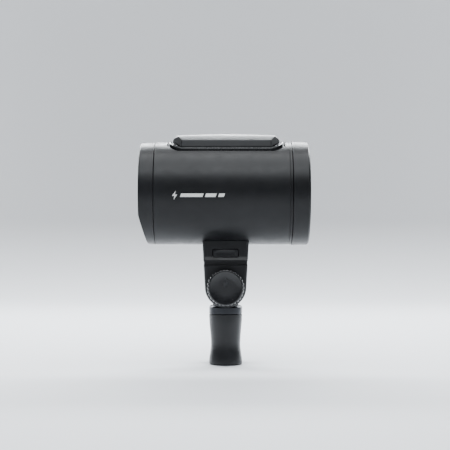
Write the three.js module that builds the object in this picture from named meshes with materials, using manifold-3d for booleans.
// A battery powered monolight strobe on its tilting stand adapter, in millimetres.
// +Z is up and +X is the way the light shines. The origin is the centre of the bottom rim of the
// stand socket. The head is drawn about its own long axis, the bracket about the tilt pivot.

import * as THREE from "three";
import { ConvexGeometry } from "three/addons/geometries/ConvexGeometry.js";
import { mergeVertices } from "three/addons/utils/BufferGeometryUtils.js";
import Module from "manifold-3d";

const wasm = await Module();
wasm.setup();

// ---- Driving dimensions -------------------------------------------------------------------

const GAP = 0.3; // clearance between two pieces that meet
const BODY_AXIS_Z = 134; // height of the head's long axis
const PIVOT_Z = 61.2; // height of the tilt pivot
const AXIS_OVER_PIVOT = BODY_AXIS_Z - PIVOT_Z;

// Head, along X from the rear face to the front face
const BODY_R = 40;
const BORE_R = 37.6;
const REAR_X = -66.5;
const TUBE_REAR_X = -54.6;
const TUBE_FRONT_X = 51;
const FRONT_X = 64.5;
const REAR_FACE_R = 39.4;
const FRONT_RING_R = 40.6;
const CAP_WALL = 2.2;
const HEAD_SIDES = 48; // flats round the head's circles

// Front: frosted glass behind a steel ring that holds magnetic accessories
const GLASS_R = 36.4;
const GLASS_FRONT_X = FRONT_X - 2.3;
const STEEL_RING = { inner: 33.6, outer: 37.8 };

// Rear face: a flat upper part and a flat facet that leans in below it
const FACET_TOP_Z = -16.8;
const FACET_SLOPE = THREE.MathUtils.degToRad(14.5);
const FACET_MID_Z = -28.4;
const FACET_MID_X = REAR_X + (FACET_TOP_Z - FACET_MID_Z) * Math.tan(FACET_SLOPE);
const WINDOW = { width: 46, height: 24, z: 16.5, corner: 2.5 };
const DIAL = { z: -6.5, r: 9, bore: 4.9 };
const BUTTON = { width: 11, height: 6.4, spread: 15, depth: 3.2 };

// Battery on top, and the bay that it drops into
const BAY = { x: 0.45, length: 91, width: 48, corner: 9 };
const TRIM_TOP_R = 40.7;
const TRIM_FOOT_R = 38.8;
const BATTERY_REAR_X = -41.25;
const BATTERY_FRONT_X = 42.15;
const BATTERY_HALF_WIDTH = 20;
const BATTERY_TOP_Z = 46.2;
const LID_UNDERSIDE_R = 40.6;
const PACK = {
  rear: -40.9, front: 41.8, halfWidth: 19.6, floor: 20.1, topR: 40.25, wall: 1, corner: 7,
};
const TRIM = { length: 85.6, width: 41.2, corner: 10, band: 1.5 };
const CELL = { r: 9, length: 65, y: 9.25, z: 30.6, rear: -34.7 };
const CONNECTOR = { x: 35.8, length: 8, halfWidth: 9 };

// Quick release foot under the head, and the slot in the bracket that takes it
const FOOT = { halfLength: 16.7, pad: 9.7, neck: 6, head: 9, top: -41.8, bottom: -43.9 };
const FOOT_HEAD_HALF_LENGTH = 15;
const FOOT_SCREW = { x: 10, y: 3, r: 1.5, headR: 2.8, headHeight: 1.3 };
const LATCH_CHANNEL = { front: 3, near: -6, far: -1.2, depth: 1.6 };

// Bracket, with heights over the pivot
const BRACKET_HALF_WIDTH = 18.2;
const BRACKET_HALF_DEPTH = 17.5;
const CHEEK_INNER_Y = 13.5;
const CHEEK_R = 16.1;
const BLOCK_BOTTOM = 20;
const UNDERCUT_BOTTOM = 16.8;
const BRACKET_WINDOW = { halfWidth: 10.4, bottom: 22.9, top: 29.5, depth: 7.6 };
const UMBRELLA = { y: 7.5, z: 23.4, r: 4.25, screwR: 1.7 };
const UMBRELLA_KNOB = { outer: 5.6, inner: 5.1, lobes: 12, from: 18.6, to: 26.2 };
const LATCH_BAR = { halfWidth: 2.6, bottom: 25.6, top: 27.5, near: -12.2, far: -3.7 };
const SPRING = { x: 5.5, z: 25.8, r: 2, wireR: 0.35, turns: 4, from: -11.7, length: 6.4 };
const UNDERCUT_DEPTH = 2;
const PIVOT_BOLT_R = 3.9;

// Tilt knob, on the -Y side
const KNOB_R = 14.2;
const KNOB_INNER_Y = -19;
const KNOB_OUTER_Y = -28;
const KNOB_FLUTES = 30;
const KNOB_CAP = { r: 11.9, thick: 1.4 };
const KNOB_INSERT_R = 6.4;

// Stand socket
const SOCKET_R = 13;
const SOCKET_WAIST_R = 11.5;
const NECK_R = 11.2;
const COLLAR = { bottom: 39.6, top: 46.4 };
const STUD_BORE_R = 8.25;
const STUD_BORE_DEPTH = 35;
const LUG_R = 13.5;
const LUG_HALF_WIDTH = 11.5;
const CLAMP = { z: 16, r: 3, boss: 6.5, bossEnd: 15.6 };
const CLAMP_KNOB = { outer: 11, inner: 9.2, lobes: 6, from: 17.6, to: 31 };

// ---- Shapes and solids --------------------------------------------------------------------

const X = new THREE.Vector3(1, 0, 0);
const Y = new THREE.Vector3(0, 1, 0);
const Z = new THREE.Vector3(0, 0, 1);

// Turns a geometry drawn along its own third axis so that this axis points along X, Y or Z.
const ALONG = {
  x: new THREE.Matrix4().makeBasis(Y, Z, X),
  y: new THREE.Matrix4().makeBasis(Z, X, Y),
  z: new THREE.Matrix4(),
};

function toSolid(geometry) {
  const bare = geometry.clone();
  bare.deleteAttribute("normal");
  bare.deleteAttribute("uv");
  const merged = mergeVertices(bare);
  const triVerts = new Uint32Array(merged.index.array);
  const vertProperties = new Float32Array(merged.attributes.position.array);
  return new wasm.Manifold(new wasm.Mesh({ numProp: 3, vertProperties, triVerts }));
}

function toGeometry(solid) {
  const mesh = solid.getMesh();
  const geometry = new THREE.BufferGeometry();
  geometry.setAttribute("position", new THREE.BufferAttribute(mesh.vertProperties, 3));
  geometry.setIndex(new THREE.BufferAttribute(mesh.triVerts, 1));
  geometry.computeVertexNormals();
  return geometry;
}

function cut(base, ...tools) {
  return toGeometry(tools.reduce((solid, tool) => solid.subtract(toSolid(tool)), toSolid(base)));
}

function join(base, ...others) {
  return toGeometry(others.reduce((solid, other) => solid.add(toSolid(other)), toSolid(base)));
}

function common(base, other) {
  return toGeometry(toSolid(base).intersect(toSolid(other)));
}

// Twice the area inside a profile, positive when it runs anticlockwise.
function area(profile) {
  return profile.reduce((sum, [r, h], i) => {
    const [nextR, nextH] = profile[(i + 1) % profile.length];
    return sum + r * nextH - nextR * h;
  }, 0);
}

// A solid of revolution about an axis, from a profile of [radius, distance along the axis].
function turned(axis, profile, segments = 48) {
  const points = profile.map(([r, h]) => new THREE.Vector2(r, h));
  if (area(profile) < 0) points.reverse();
  const geometry = new THREE.LatheGeometry(points, segments);
  geometry.rotateX(Math.PI / 2);
  geometry.rotateZ(Math.PI / segments);
  return geometry.applyMatrix4(ALONG[axis]);
}

function rod(axis, r, from, to, segments = 24) {
  return turned(axis, [[0, from], [r, from], [r, to], [0, to]], segments);
}

function ring(axis, inner, outer, from, to, segments = 48) {
  return turned(
    axis,
    [[inner, from], [outer, from], [outer, to], [inner, to], [inner, from]],
    segments,
  );
}

// A straight prism along an axis. The outline's own x and y run along the next two axes:
// Y and Z for a prism along X, Z and X for one along Y, X and Y for one along Z.
function prism(axis, outline, from, to, curveSegments = 6) {
  const settings = { depth: to - from, bevelEnabled: false, curveSegments };
  const geometry = new THREE.ExtrudeGeometry(outline, settings);
  geometry.translate(0, 0, from);
  return geometry.applyMatrix4(ALONG[axis]);
}

function box(x0, x1, y0, y1, z0, z1) {
  const geometry = new THREE.BoxGeometry(x1 - x0, y1 - y0, z1 - z0);
  return geometry.translate((x0 + x1) / 2, (y0 + y1) / 2, (z0 + z1) / 2);
}

function polygon(points) {
  return new THREE.Shape(points.map(([u, v]) => new THREE.Vector2(u, v)));
}

function roundedRectangle(width, height, corner, u = 0, v = 0) {
  const shape = new THREE.Shape();
  const left = u - width / 2 + corner;
  const right = u + width / 2 - corner;
  const bottom = v - height / 2 + corner;
  const top = v + height / 2 - corner;
  shape.absarc(right, top, corner, 0, Math.PI / 2);
  shape.absarc(left, top, corner, Math.PI / 2, Math.PI);
  shape.absarc(left, bottom, corner, Math.PI, Math.PI * 1.5);
  shape.absarc(right, bottom, corner, Math.PI * 1.5, Math.PI * 2);
  return shape;
}

// A wheel outline whose radius swings evenly between two values.
function lobed(outer, inner, lobes, points) {
  const middle = (outer + inner) / 2;
  const swing = (outer - inner) / 2;
  const at = (i) => {
    const angle = (i * 2 * Math.PI) / points;
    const r = middle + swing * Math.cos(lobes * angle);
    return [r * Math.cos(angle), r * Math.sin(angle)];
  };
  return polygon(Array.from({ length: points }, (_, i) => at(i)));
}

function moved(geometry, x, y, z) {
  return geometry.translate(x, y, z);
}

function piece(name, geometry, color, roughness, metalness) {
  const material = new THREE.MeshStandardMaterial({ color, roughness, metalness });
  const mesh = new THREE.Mesh(geometry, material);
  mesh.name = name;
  return mesh;
}

const blackPlastic = (name, geometry) => piece(name, geometry, 0x17181b, 0.5, 0);
const blackMetal = (name, geometry) => piece(name, geometry, 0x1b1c1f, 0.42, 0.6);
const steel = (name, geometry) => piece(name, geometry, 0x9a9ca0, 0.35, 0.95);
const rubber = (name, geometry) => piece(name, geometry, 0x0e0e0f, 0.85, 0);
const circuit = (name, geometry) => piece(name, geometry, 0x1e4a31, 0.6, 0.1);

// ---- Head: shells -------------------------------------------------------------------------

function mainTube() {
  const shell = ring("x", BORE_R, BODY_R, TUBE_REAR_X, TUBE_FRONT_X, HEAD_SIDES);
  const bay = roundedRectangle(BAY.length, BAY.width, BAY.corner, BAY.x, 0);
  const half = FOOT.halfLength + GAP;
  const side = FOOT.pad + GAP;
  const footHole = box(-half, half, -side, side, -BODY_R - 2, -BODY_R / 2);
  return blackPlastic("main_tube", cut(shell, prism("z", bay, 10, BODY_R + 2, 5), footHole));
}

// The space outside the leaning facet, moved inwards by a wall thickness.
function outsideFacet(inset) {
  const tool = box(-40, 0, -BODY_R - 5, BODY_R + 5, -60, 60);
  tool.rotateY(-FACET_SLOPE);
  return moved(tool, FACET_MID_X + inset / Math.cos(FACET_SLOPE), 0, FACET_MID_Z);
}

// A tool or a button, drawn about the middle of the facet with +X pointing into the head.
function onFacet(geometry) {
  return moved(geometry.rotateY(-FACET_SLOPE), FACET_MID_X, 0, FACET_MID_Z);
}

function buttonOutline(slack) {
  return roundedRectangle(BUTTON.width + slack, BUTTON.height + slack, (BUTTON.height + slack) / 2);
}

function rearCap() {
  const rim = TUBE_REAR_X - GAP;
  const inside = REAR_X + CAP_WALL;
  const spigot = 5;
  const hollowR = 37;
  const spigotBoreR = 35;
  const skin = turned("x", [
    [0, REAR_X],
    [REAR_FACE_R - 1, REAR_X],
    [REAR_FACE_R, REAR_X + 1],
    [BODY_R, rim],
    [BORE_R - GAP, rim],
    [BORE_R - GAP, rim + spigot],
    [0, rim + spigot],
  ], HEAD_SIDES);
  const hollow = [
    [0, inside],
    [hollowR, inside],
    [hollowR, rim - 1.5],
    [spigotBoreR, rim],
    [spigotBoreR, 0],
    [0, 0],
  ];
  const space = turned("x", hollow, HEAD_SIDES);
  const cup = cut(cut(skin, outsideFacet(0)), cut(space, outsideFacet(CAP_WALL)));
  const window = roundedRectangle(WINDOW.width, WINDOW.height, WINDOW.corner, 0, WINDOW.z);
  const holes = [-1, 0, 1].map((side) =>
    onFacet(moved(prism("x", buttonOutline(2 * GAP), -6, 6, 4), 0, side * BUTTON.spread, 0)),
  );
  const dialHole = moved(rod("x", DIAL.r + GAP, REAR_X - 5, REAR_X + 5, 32), 0, 0, DIAL.z);
  const cap = cut(cup, prism("x", window, REAR_X - 5, REAR_X + 5, 3), dialHole, ...holes);
  return blackPlastic("rear_cap", cap);
}

function frontRing() {
  const back = TUBE_FRONT_X + GAP;
  const spigotEnd = back - 4.8;
  const boreR = 35;
  const lipR = 33;
  const glassSeatR = GLASS_R + 0.4;
  const glassSeatX = FRONT_X - 5.7;
  const steelSeatR = STEEL_RING.outer + GAP;
  const steelSeatX = FRONT_X - 2.2;
  const profile = [
    [boreR, spigotEnd],
    [BORE_R - GAP, spigotEnd],
    [BORE_R - GAP, back],
    [FRONT_RING_R, back],
    [FRONT_RING_R - 0.4, FRONT_X - 1],
    [FRONT_RING_R - 1.4, FRONT_X],
    [steelSeatR, FRONT_X],
    [steelSeatR, steelSeatX],
    [glassSeatR, steelSeatX],
    [glassSeatR, glassSeatX],
    [lipR, glassSeatX],
    [lipR, glassSeatX - 1.6],
    [boreR, glassSeatX - 1.6],
    [boreR, spigotEnd],
  ];
  return blackPlastic("front_ring", turned("x", profile, HEAD_SIDES));
}

// ---- Head: light --------------------------------------------------------------------------

const FLASH_RING = { r: 14.5, x: 51.3, tubeR: 2.3, opening: THREE.MathUtils.degToRad(25) };
const FLASH_LEG = { end: 41.6, bend: 47.5 };
const TUBE_BASE = { inner: 10.9, outer: 18.4, from: 40.5, to: 45.2, legHoleR: 2.7 };
const HEAT_SINK = { r: 18.4, from: 24, to: 40.2, neckR: 10.6, neckEnd: 45, slot: 2.4, pitch: 6 };
const LED = { boardR: 10.5, boardX: 45.3, boardThick: 1.6, chip: 10, chipX: 47.2, chipThick: 1.2 };
const REFLECTOR = { base: 17.6, mouth: 34, back: 46.5, front: 56.6, steps: 5 };

function magneticRing() {
  const { inner, outer } = STEEL_RING;
  return steel("magnetic_ring", ring("x", inner, outer, FRONT_X - 1.9, FRONT_X - 0.2, HEAD_SIDES));
}

function frontGlass() {
  const pane = rod("x", GLASS_R, GLASS_FRONT_X - 2, GLASS_FRONT_X, HEAD_SIDES);
  return piece("front_glass", pane, 0xe9edf0, 0.6, 0);
}

function frontGasket() {
  const back = GLASS_FRONT_X - 3.1;
  return rubber("front_gasket", ring("x", GLASS_R - 3.2, GLASS_R + 0.1, back, back + 0.8, 32));
}

function reflector() {
  const wall = { x: -0.9, r: 0.5 };
  const at = (i) => {
    const t = i / REFLECTOR.steps;
    const r = REFLECTOR.base + (REFLECTOR.mouth - REFLECTOR.base) * Math.sqrt(t);
    return [r, REFLECTOR.back + (REFLECTOR.front - REFLECTOR.back) * t];
  };
  const inner = Array.from({ length: REFLECTOR.steps + 1 }, (_, i) => at(i));
  const outer = inner.map(([r, x]) => [r + wall.r, x + wall.x]).reverse();
  const bowl = turned("x", [...inner, ...outer, inner[0]], 36);
  return piece("reflector", bowl, 0xd9dcdf, 0.2, 1);
}

// A ring of glass tube, open at the bottom, with two legs that run back into the base.
function flashTube() {
  const { r, opening } = FLASH_RING;
  const steps = 14;
  const first = opening + 0.12;
  const sweep = 2 * Math.PI - 2 * first;
  const around = (angle, x) => new THREE.Vector3(x, r * Math.sin(angle), -r * Math.cos(angle));
  const points = [around(opening, FLASH_LEG.end), around(opening, FLASH_LEG.bend)];
  for (let i = 0; i <= steps; i += 1) {
    points.push(around(first + (sweep * i) / steps, FLASH_RING.x));
  }
  points.push(around(-opening, FLASH_LEG.bend), around(-opening, FLASH_LEG.end));
  const circle = new THREE.Shape();
  circle.absarc(0, 0, FLASH_RING.tubeR, 0, Math.PI * 2);
  const tube = new THREE.ExtrudeGeometry(circle, {
    steps: 32,
    curveSegments: 3,
    bevelEnabled: false,
    extrudePath: new THREE.CatmullRomCurve3(points, false, "centripetal"),
  });
  return piece("flash_tube", tube, 0xf4f1e6, 0.08, 0);
}

function tubeBase() {
  const { inner, outer, from, to, legHoleR } = TUBE_BASE;
  const { r, opening } = FLASH_RING;
  const disc = ring("x", inner, outer, from, to, 28);
  const legs = [-1, 1].map((side) =>
    moved(
      rod("x", legHoleR, from - 1, to + 1, 10),
      0,
      side * r * Math.sin(opening),
      -r * Math.cos(opening),
    ),
  );
  return piece("tube_base", cut(disc, ...legs), 0xe8e2d2, 0.7, 0);
}

function heatSink() {
  const { r, from, to, neckR, neckEnd, slot, pitch } = HEAT_SINK;
  const finDepth = 12;
  const block = join(rod("x", r, from, to, 28), rod("x", neckR, to - 0.2, neckEnd, 20));
  const slots = [-2.5, -1.5, -0.5, 0.5, 1.5, 2.5].map((i) =>
    box(from - 1, from + finDepth, i * pitch - slot / 2, i * pitch + slot / 2, -20, 20),
  );
  return piece("heat_sink", cut(block, ...slots), 0xa9acb0, 0.45, 0.9);
}

function modellingLight() {
  const { boardR, boardX, boardThick, chipX, chipThick } = LED;
  const board = rod("x", boardR, boardX, boardX + boardThick, 20);
  const chip = prism("x", roundedRectangle(LED.chip, LED.chip, 1), chipX, chipX + chipThick, 1);
  return [circuit("led_board", board), piece("led_module", chip, 0xe8c95a, 0.4, 0)];
}

function triggerCoil() {
  const coil = moved(rod("x", 4.5, HEAT_SINK.from + 2, 39.5, 16), 0, 20, -22);
  return piece("trigger_coil", coil, 0x7a3b1e, 0.5, 0.3);
}

// ---- Head: power and frame inside ---------------------------------------------------------

const CHASSIS = { rear: -49.7, front: 22, top: -11, thick: 1.8, wallTop: 18.4 };

function chassis() {
  const base = CHASSIS.top - CHASSIS.thick;
  const plate = box(CHASSIS.rear, CHASSIS.front, -33, 33, base, CHASSIS.top);
  const wall = (x) => box(x, x + CHASSIS.thick, -30, 30, base, CHASSIS.wallTop);
  const frame = join(plate, wall(CHASSIS.rear), wall(CHASSIS.front - CHASSIS.thick));
  return piece("chassis", frame, 0x2a2b2e, 0.6, 0);
}

function capacitor(index, y) {
  const r = 12.5;
  const rear = -30;
  const front = 18;
  const can = turned("x", [
    [0, rear],
    [r - 0.6, rear],
    [r, rear + 0.6],
    [r, front],
    [0, front],
  ], 24);
  return piece(`capacitor_${index}`, moved(can, 0, y, 3), 0x24324a, 0.35, 0.2);
}

function boards() {
  const thick = 1.6;
  const powerTop = CHASSIS.top - CHASSIS.thick - 3.3;
  const power = box(CHASSIS.rear + 1.7, CHASSIS.front - 2, -30, 30, powerTop - thick, powerTop);
  const radio = box(-46, -14, -32.6, -31.4, CHASSIS.top + 0.6, 9);
  const controlR = 34;
  const controlX = REAR_X + 8.3;
  const start = Math.asin(-31 / controlR);
  const face = new THREE.Shape();
  face.absarc(0, 0, controlR, start, Math.PI - start);
  const control = prism("x", face, controlX, controlX + thick, 20);
  return [
    circuit("power_board", power),
    circuit("radio_board", radio),
    circuit("control_board", control),
  ];
}

// ---- Head: battery bay --------------------------------------------------------------------

// What lies under a cylinder about the head's axis.
function under(r) {
  return rod("x", r, -60, 60, 60);
}

function batteryBay() {
  const floor = 18.9;
  const wall = 1.4;
  const clear = 0.4;
  const length = PACK.front - PACK.rear + 2 * clear;
  const width = 2 * (PACK.halfWidth + clear);
  const x = (PACK.front + PACK.rear) / 2;
  const corner = PACK.corner + clear;
  const outside = roundedRectangle(length + 2 * wall, width + 2 * wall, corner + wall, x, 0);
  const inside = roundedRectangle(length, width, corner, x, 0);
  const flange = roundedRectangle(BAY.length - 1.6, BAY.width - 1.6, BAY.corner - 0.8, BAY.x, 0);
  const deckThick = 1.2;
  const deck = cut(prism("z", flange, 24, 42, 4), under(TRIM_FOOT_R - deckThick));
  const tub = join(prism("z", outside, floor, 42, 3), deck);
  const trimmed = common(tub, under(TRIM_FOOT_R - GAP));
  const hollow = prism("z", inside, floor + 1, 45, 3);
  const reach = CONNECTOR.length / 2 + GAP;
  const side = CONNECTOR.halfWidth + GAP;
  const hole = box(CONNECTOR.x - reach, CONNECTOR.x + reach, -side, side, floor - 2, floor + 4);
  return piece("battery_bay", cut(trimmed, hollow, hole), 0x1c1d20, 0.6, 0);
}

function bayTrim() {
  const { length, width, corner, band: wide } = TRIM;
  const outside = roundedRectangle(length + 2 * wide, width + 2 * wide, corner + wide, BAY.x, 0);
  const inside = roundedRectangle(length, width, corner, BAY.x, 0);
  const band = cut(prism("z", outside, 24, 45, 6), prism("z", inside, 20, 48, 6));
  return rubber("bay_trim", cut(common(band, under(TRIM_TOP_R)), under(TRIM_FOOT_R)));
}

function bayConnector() {
  const reach = CONNECTOR.length / 2;
  const side = CONNECTOR.halfWidth;
  const block = box(CONNECTOR.x - reach, CONNECTOR.x + reach, -side, side, 18.8, 24.9);
  return piece("bay_connector", block, 0x111214, 0.5, 0);
}

// ---- Battery ------------------------------------------------------------------------------

const LATCH = { rear: -40.6, front: -35, bottom: 40.9, top: 43.1, lean: 1.25, halfWidth: 7 };

// The crowned lid form, drawn in by a wall thickness: steep sides, corners cut by one flat facet,
// and a bevel in two stages up to the crown. Each point is the way in from the end, the way in
// from the side, and its height.
function lid(inset) {
  const rear = BATTERY_REAR_X + inset;
  const front = BATTERY_FRONT_X - inset;
  const side = BATTERY_HALF_WIDTH - inset;
  const top = BATTERY_TOP_Z - inset;
  const rim = [
    [0, 9, 30], [0, 9, 35.4], [7, 0, 30], [7, 0, 35.4],
    [0.1, 10.5, 40.5 - inset], [1, 10, 42.2 - inset], [7.2, 1.5, 40.7 - inset],
    [4, 6.6, 43.7 - inset], [5.6, 10, top - 1.7], [2.65, 13.5, top - 1.2],
    [22, 10, top - 0.9], [22, 14, top],
  ];
  const points = [];
  for (const [inward, aside, z] of rim) {
    for (const y of [side - aside, aside - side]) {
      points.push(new THREE.Vector3(rear + inward, y, z), new THREE.Vector3(front - inward, y, z));
    }
  }
  return new ConvexGeometry(points);
}

function batteryCover() {
  const side = LATCH.halfWidth + GAP;
  const latchHole = box(-50, LATCH.front + 2.3, -side, side, LATCH.bottom - 1.2, LATCH.top + GAP);
  const shell = cut(lid(0), lid(1.5), under(LID_UNDERSIDE_R), latchHole);
  return blackPlastic("battery_cover", shell);
}

function batteryCase() {
  const length = PACK.front - PACK.rear;
  const x = (PACK.front + PACK.rear) / 2;
  const { halfWidth, wall, corner } = PACK;
  const outside = roundedRectangle(length, 2 * halfWidth, corner, x, 0);
  const inside = roundedRectangle(length - 2 * wall, 2 * (halfWidth - wall), corner - wall, x, 0);
  const block = common(prism("z", outside, PACK.floor, 45, 4), under(PACK.topR));
  const hollow = prism("z", inside, PACK.floor + 1.1, 48, 4);
  const reach = CONNECTOR.length / 2 + 2 * GAP;
  const side = CONNECTOR.halfWidth + 2 * GAP;
  const hole = box(CONNECTOR.x - reach, CONNECTOR.x + reach, -side, side, 15, 24);
  return blackPlastic("battery_case", cut(block, hollow, hole));
}

function batteryInside() {
  const cell = (index, side) => {
    const can = rod("x", CELL.r, CELL.rear, CELL.rear + CELL.length, 20);
    return piece(`battery_cell_${index}`, moved(can, 0, side * CELL.y, CELL.z), 0x2f6d86, 0.4, 0.1);
  };
  const board = box(30.6, 31.5, -16, 16, 23, 36);
  const reach = CONNECTOR.length / 2;
  const side = CONNECTOR.halfWidth;
  const contacts = box(CONNECTOR.x - reach, CONNECTOR.x + reach, -side, side, 25.2, 30);
  return [
    cell(1, -1),
    cell(2, 1),
    circuit("battery_board", board),
    piece("battery_contacts", contacts, 0xb9923f, 0.35, 0.9),
  ];
}

function batteryLatch() {
  const { rear, front, bottom, top, lean, halfWidth } = LATCH;
  const outline = polygon([[bottom, rear], [top, rear + lean], [top, front], [bottom, front]]);
  return blackPlastic("battery_latch", prism("y", outline, -halfWidth, halfWidth));
}

// ---- Rear controls ------------------------------------------------------------------------

function display() {
  const pane = roundedRectangle(WINDOW.width - 0.6, WINDOW.height - 0.6, WINDOW.corner - 0.3, 0, WINDOW.z);
  const glass = prism("x", pane, REAR_X + 0.1, REAR_X + 1.8, 3);
  const module = prism("x", roundedRectangle(42, 21, 0.6, 0, WINDOW.z), REAR_X + 2.3, REAR_X + 6.8, 1);
  return [
    piece("display_window", glass, 0x0a0b0d, 0.08, 0),
    piece("display_module", module, 0x30343a, 0.4, 0.2),
  ];
}

function dialEncoder() {
  const body = moved(rod("x", 7.5, REAR_X + 4.1, REAR_X + 8, 20), 0, 0, DIAL.z);
  return piece("dial_encoder", body, 0x3a3c40, 0.5, 0.4);
}

function dial() {
  const edge = REAR_X + 0.3;
  const profile = [
    [DIAL.bore, edge + 0.3],
    [DIAL.r - 0.6, edge],
    [DIAL.r, edge + 0.6],
    [DIAL.r, edge + 3.4],
    [DIAL.bore, edge + 3.4],
    [DIAL.bore, edge + 0.3],
  ];
  return blackPlastic("dial", moved(turned("x", profile, 32), 0, 0, DIAL.z));
}

function setButton() {
  const cap = rod("x", DIAL.bore - GAP, REAR_X + 0.2, REAR_X + 3.1, 24);
  return blackPlastic("set_button", moved(cap, 0, 0, DIAL.z));
}

function facetButton(name, side) {
  const proud = 0.3;
  const cap = prism("x", buttonOutline(0), -proud, BUTTON.depth - proud, 4);
  return rubber(name, onFacet(moved(cap, 0, side * BUTTON.spread, 0)));
}

// ---- Foot under the head ------------------------------------------------------------------

function mountFoot() {
  const pad = common(
    box(-FOOT.halfLength, FOOT.halfLength, -FOOT.pad, FOOT.pad, -BODY_R - 1, -35.7),
    under(BODY_R),
  );
  const neck = box(-FOOT.halfLength, FOOT.halfLength, -FOOT.neck, FOOT.neck, FOOT.top - 0.5, -37);
  const reach = FOOT_HEAD_HALF_LENGTH;
  const head = box(-reach, reach, -FOOT.head, FOOT.head, FOOT.bottom, FOOT.top);
  const { front, near, far, depth } = LATCH_CHANNEL;
  const channel = box(-20, front, near, far, FOOT.bottom - 1, FOOT.bottom + depth);
  const holes = [-1, 1].flatMap((side) => [
    moved(rod("z", FOOT_SCREW.r + 0.25, -50, -30, 10), side * FOOT_SCREW.x, FOOT_SCREW.y, 0),
    moved(
      rod("z", FOOT_SCREW.headR + GAP, FOOT.bottom - 1, FOOT.bottom + 1.7, 14),
      side * FOOT_SCREW.x,
      FOOT_SCREW.y,
      0,
    ),
  ]);
  return blackMetal("mount_foot", cut(join(pad, neck, head), channel, ...holes));
}

function footPlate() {
  const plate = box(-21, 21, -11.5, 11.5, -35.4, -32.6);
  const holes = [-1, 1].map((side) =>
    moved(rod("z", FOOT_SCREW.r + 0.25, -40, -30, 10), side * FOOT_SCREW.x, FOOT_SCREW.y, 0),
  );
  return steel("foot_plate", cut(plate, ...holes));
}

function footScrew(index, side) {
  const headTop = FOOT.bottom + 0.1 + FOOT_SCREW.headHeight;
  const profile = [
    [0, FOOT.bottom + 0.1],
    [FOOT_SCREW.headR, FOOT.bottom + 0.1],
    [FOOT_SCREW.headR, headTop],
    [FOOT_SCREW.r, headTop],
    [FOOT_SCREW.r, -33],
    [0, -33],
  ];
  const screw = moved(turned("z", profile, 14), side * FOOT_SCREW.x, FOOT_SCREW.y, 0);
  return steel(`foot_screw_${index}`, screw);
}

// ---- Bracket, about the tilt pivot --------------------------------------------------------

function bracketOutline() {
  const shape = new THREE.Shape();
  const top = 38;
  shape.moveTo(top, -BRACKET_HALF_WIDTH);
  shape.lineTo(0, -CHEEK_R);
  shape.absarc(0, 0, CHEEK_R, -Math.PI / 2, -Math.PI * 1.5, true);
  shape.lineTo(top, BRACKET_HALF_WIDTH);
  return shape;
}

function bracket() {
  const depth = BRACKET_HALF_DEPTH;
  const wide = BRACKET_HALF_WIDTH + 5;
  const win = BRACKET_WINDOW;
  const body = prism("y", bracketOutline(), -depth, depth, 14);
  const groove = (x0, x1, y0, y1) => box(x0, x1, y0, y1, UNDERCUT_BOTTOM, BLOCK_BOTTOM);
  const endX = 16.8;
  const undercut = [
    groove(-wide, wide, -depth - 1, -depth + UNDERCUT_DEPTH),
    groove(-wide, wide, depth - UNDERCUT_DEPTH, depth + 1),
    groove(-wide, -endX, -depth - 1, depth + 1),
    groove(endX, wide, -depth - 1, depth + 1),
  ];
  const fork = box(-wide, wide, -CHEEK_INNER_Y, CHEEK_INNER_Y, -30, UNDERCUT_BOTTOM + 0.2);
  const saddle = moved(under(BODY_R + GAP), 0, 0, AXIS_OVER_PIVOT);
  const slotFloor = AXIS_OVER_PIVOT + FOOT.bottom - GAP;
  const slotTop = AXIS_OVER_PIVOT + FOOT.top + GAP;
  const head = FOOT.head + GAP;
  const neck = FOOT.neck + GAP;
  const pocketTop = slotFloor - 0.8;
  const pocketFront = -depth + win.depth - 1;
  const bar = LATCH_BAR.halfWidth + 0.4;
  const barBack = -1.3;
  const tools = [
    ...undercut,
    fork,
    saddle,
    box(-wide, wide, -head, head, slotFloor, slotTop),
    box(-wide, wide, -neck, neck, slotFloor, slotTop + 6),
    box(-win.halfWidth, win.halfWidth, -depth - 1, -depth + win.depth, win.bottom, win.top),
    box(-bar, bar, pocketFront, barBack, LATCH_BAR.bottom - GAP, pocketTop),
    box(-2.1, 2.1, -5.8, barBack, pocketTop - 1, slotFloor + 1),
    moved(rod("y", SPRING.r + 0.55, pocketFront, -4.7, 12), SPRING.x, 0, SPRING.z),
    moved(rod("x", UMBRELLA.r, -wide, wide, 20), 0, UMBRELLA.y, UMBRELLA.z),
    moved(rod("y", UMBRELLA.screwR + GAP, UMBRELLA.y, depth + 1, 10), 0, 0, UMBRELLA.z),
    rod("y", PIVOT_BOLT_R + GAP, -depth - 1, depth + 1, 16),
  ];
  return blackPlastic("bracket", cut(body, ...tools));
}

function releaseButton() {
  const win = BRACKET_WINDOW;
  const half = win.halfWidth - GAP;
  const front = -BRACKET_HALF_DEPTH + 0.2;
  const back = -12.5;
  const bulge = 1.6;
  const face = new THREE.Shape();
  face.moveTo(-half, front + bulge);
  face.quadraticCurveTo(0, front - bulge, half, front + bulge);
  face.lineTo(half, back);
  face.lineTo(-half, back);
  return blackPlastic("release_button", prism("z", face, win.bottom + GAP, win.top - GAP, 8));
}

function latchPlate() {
  const { halfWidth, bottom, top, near, far } = LATCH_BAR;
  const bar = box(-halfWidth, halfWidth, near, far, bottom, top);
  const tooth = box(-1.8, 1.8, far - 1.8, far, top - 0.5, top + 2.7);
  return steel("latch_plate", join(bar, tooth));
}

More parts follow.
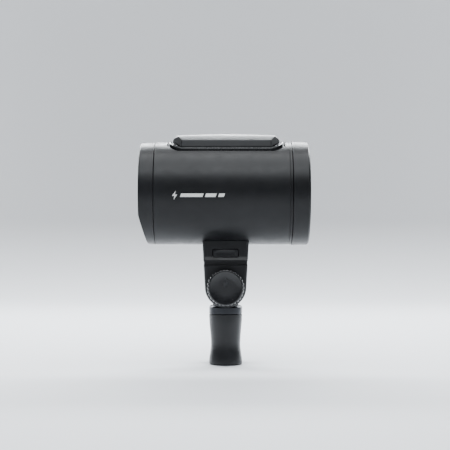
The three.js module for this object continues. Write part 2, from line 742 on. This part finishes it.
function releaseSpring() {
  const { r, turns, from, length } = SPRING;
  const steps = turns * 7;
  const points = Array.from({ length: steps + 1 }, (_, i) => {
    const angle = (i / steps) * turns * 2 * Math.PI;
    return new THREE.Vector3(r * Math.cos(angle), from + (length * i) / steps, r * Math.sin(angle));
  });
  const wire = new THREE.Shape();
  wire.absarc(0, 0, SPRING.wireR, 0, Math.PI * 2);
  const coil = new THREE.ExtrudeGeometry(wire, {
    steps,
    curveSegments: 2,
    bevelEnabled: false,
    extrudePath: new THREE.CatmullRomCurve3(points),
  });
  return steel("release_spring", moved(coil, SPRING.x, 0, SPRING.z));
}

function umbrellaLock() {
  const { outer, inner, lobes, from, to } = UMBRELLA_KNOB;
  const screwEnd = 21.5;
  const tip = rod("y", UMBRELLA.screwR, 12, 13.2, 10);
  const screw = rod("y", UMBRELLA.screwR, 13.5, screwEnd, 10);
  const head = prism("y", lobed(outer, inner, lobes, 2 * lobes), from, to);
  const knob = cut(head, rod("y", UMBRELLA.screwR + GAP, from - 1, screwEnd + GAP, 10));
  return [
    piece("umbrella_tip", moved(tip, 0, 0, UMBRELLA.z), 0xb08d4a, 0.4, 0.9),
    steel("umbrella_screw", moved(screw, 0, 0, UMBRELLA.z)),
    blackPlastic("umbrella_knob", moved(knob, 0, 0, UMBRELLA.z)),
  ];
}

function pivotBolt() {
  const end = -24.2;
  const underHead = BRACKET_HALF_DEPTH + GAP;
  const headR = 7.2;
  const headTop = underHead + 4;
  const keyR = 3;
  const keyFloor = underHead + 1.4;
  const profile = [
    [0, end],
    [PIVOT_BOLT_R, end],
    [PIVOT_BOLT_R, underHead],
    [headR, underHead],
    [headR, headTop],
    [keyR, headTop],
    [keyR, keyFloor],
    [0, keyFloor],
  ];
  return steel("pivot_bolt", turned("y", profile, 20));
}

function washer(name, from, to, r) {
  return steel(name, ring("y", PIVOT_BOLT_R + GAP, r, from, to, 20));
}

// ---- Tilt knob, about the tilt pivot ------------------------------------------------------

function tiltKnob() {
  const round = KNOB_R - 0.35;
  const outline = lobed(KNOB_R, KNOB_R - 0.7, KNOB_FLUTES, 2 * KNOB_FLUTES);
  const wheel = prism("y", outline, KNOB_OUTER_Y, KNOB_INNER_Y);
  const turning = turned("y", [
    [0, KNOB_OUTER_Y],
    [round - 1.2, KNOB_OUTER_Y],
    [round + 0.6, KNOB_OUTER_Y + 1.5],
    [round + 0.6, KNOB_INNER_Y - 0.8],
    [round - 0.4, KNOB_INNER_Y],
    [0, KNOB_INNER_Y],
  ], 60);
  const recessFloor = KNOB_OUTER_Y + KNOB_CAP.thick + GAP;
  const recess = rod("y", KNOB_CAP.r + GAP, KNOB_OUTER_Y - 1, recessFloor, 32);
  const pocket = rod("y", KNOB_INSERT_R + 0.4, KNOB_OUTER_Y + 1, KNOB_INNER_Y + 1, 6);
  return blackPlastic("tilt_knob", cut(common(wheel, turning), recess, pocket));
}

function knobInsert() {
  const hexagon = rod("y", KNOB_INSERT_R, KNOB_OUTER_Y + 2.2, KNOB_INNER_Y - 0.4, 6);
  const bore = rod("y", PIVOT_BOLT_R + GAP, KNOB_OUTER_Y + 1, KNOB_INNER_Y + 1, 16);
  const brass = cut(hexagon, bore);
  return piece("knob_insert", brass, 0xb08d4a, 0.4, 0.9);
}

function knobCap() {
  const disc = rod("y", KNOB_CAP.r, KNOB_OUTER_Y, KNOB_OUTER_Y + KNOB_CAP.thick, 32);
  return blackPlastic("knob_cap", disc);
}

// ---- Stand socket -------------------------------------------------------------------------

function socketBody() {
  const outline = [
    [0, 0],
    [SOCKET_R, 0],
    [SOCKET_R - 0.4, 6],
    [SOCKET_WAIST_R, 16],
    [SOCKET_WAIST_R + 0.5, 26],
    [SOCKET_R, COLLAR.bottom - GAP],
    [NECK_R, COLLAR.bottom - GAP],
    [NECK_R, COLLAR.top],
    [0, COLLAR.top],
  ];
  const half = LUG_HALF_WIDTH;
  const tube = turned("z", outline, 36);
  const boss = moved(rod("y", CLAMP.boss, 9.5, CLAMP.bossEnd, 20), 0, 0, CLAMP.z);
  const lug = moved(rod("y", LUG_R, -half, half, 32), 0, 0, PIVOT_Z);
  const neck = common(
    box(-10, 10, -half, half, COLLAR.top - 2, PIVOT_Z),
    rod("z", NECK_R, 0, 100, 36),
  );
  const body = cut(
    join(tube, boss, lug, neck),
    rod("z", STUD_BORE_R, -1, STUD_BORE_DEPTH, 24),
    moved(rod("y", CLAMP.r + GAP, 5, 20, 12), 0, 0, CLAMP.z),
    moved(rod("y", PIVOT_BOLT_R + GAP, -20, 20, 16), 0, 0, PIVOT_Z),
  );
  return blackMetal("socket_body", body);
}

function socketCollar() {
  const { bottom, top } = COLLAR;
  const profile = [
    [NECK_R + GAP, bottom],
    [SOCKET_R, bottom],
    [SOCKET_R, top - 1.4],
    [SOCKET_R - 1, top - 0.2],
    [NECK_R + GAP, top - 0.2],
    [NECK_R + GAP, bottom],
  ];
  return piece("socket_collar", turned("z", profile, 36), 0x3a3b3e, 0.25, 0.95);
}

function standClamp() {
  const lift = (geometry) => moved(geometry, 0, 0, CLAMP.z);
  const { outer, inner, lobes, from, to } = CLAMP_KNOB;
  const screwEnd = 24;
  const pad = rod("y", CLAMP.r, 8.4, 9.9, 14);
  const screw = rod("y", CLAMP.r, 10.2, screwEnd, 14);
  const wheel = prism("y", lobed(outer, inner, lobes, 6 * lobes), from, to);
  const knob = cut(wheel, rod("y", CLAMP.r + GAP, from - 1, screwEnd + GAP, 14));
  return [
    piece("clamp_pad", lift(pad), 0xb08d4a, 0.4, 0.9),
    steel("clamp_screw", lift(screw)),
    blackPlastic("clamp_knob", lift(knob)),
  ];
}

// ---- Assembly -----------------------------------------------------------------------------

const head = new THREE.Group();
head.position.z = BODY_AXIS_Z;
head.add(mainTube(), rearCap(), frontRing());
head.add(magneticRing(), frontGlass(), frontGasket(), reflector(), flashTube(), tubeBase());
head.add(...modellingLight(), heatSink(), triggerCoil());
head.add(chassis(), capacitor(1, -13.2), capacitor(2, 13.2), ...boards());
head.add(batteryBay(), bayTrim(), bayConnector());
head.add(batteryCover(), batteryCase(), ...batteryInside(), batteryLatch());
head.add(...display(), dialEncoder(), dial(), setButton());
head.add(facetButton("power_button", 1), facetButton("test_button", 0), facetButton("light_button", -1));
head.add(mountFoot(), footPlate(), footScrew(1, -1), footScrew(2, 1));

const bracketGroup = new THREE.Group();
bracketGroup.position.z = PIVOT_Z;
bracketGroup.add(bracket(), releaseButton(), latchPlate(), releaseSpring(), ...umbrellaLock());
bracketGroup.add(pivotBolt(), tiltKnob(), knobInsert(), knobCap());
bracketGroup.add(washer("thrust_washer", -18.7, -17.8, 9));
bracketGroup.add(washer("friction_washer_near", -13.2, -11.8, LUG_HALF_WIDTH));
bracketGroup.add(washer("friction_washer_far", 11.8, 13.2, LUG_HALF_WIDTH));

const stand = new THREE.Group();
stand.add(socketBody(), socketCollar(), ...standClamp());

const monolight = new THREE.Group();
monolight.add(head, bracketGroup, stand);

export default monolight;
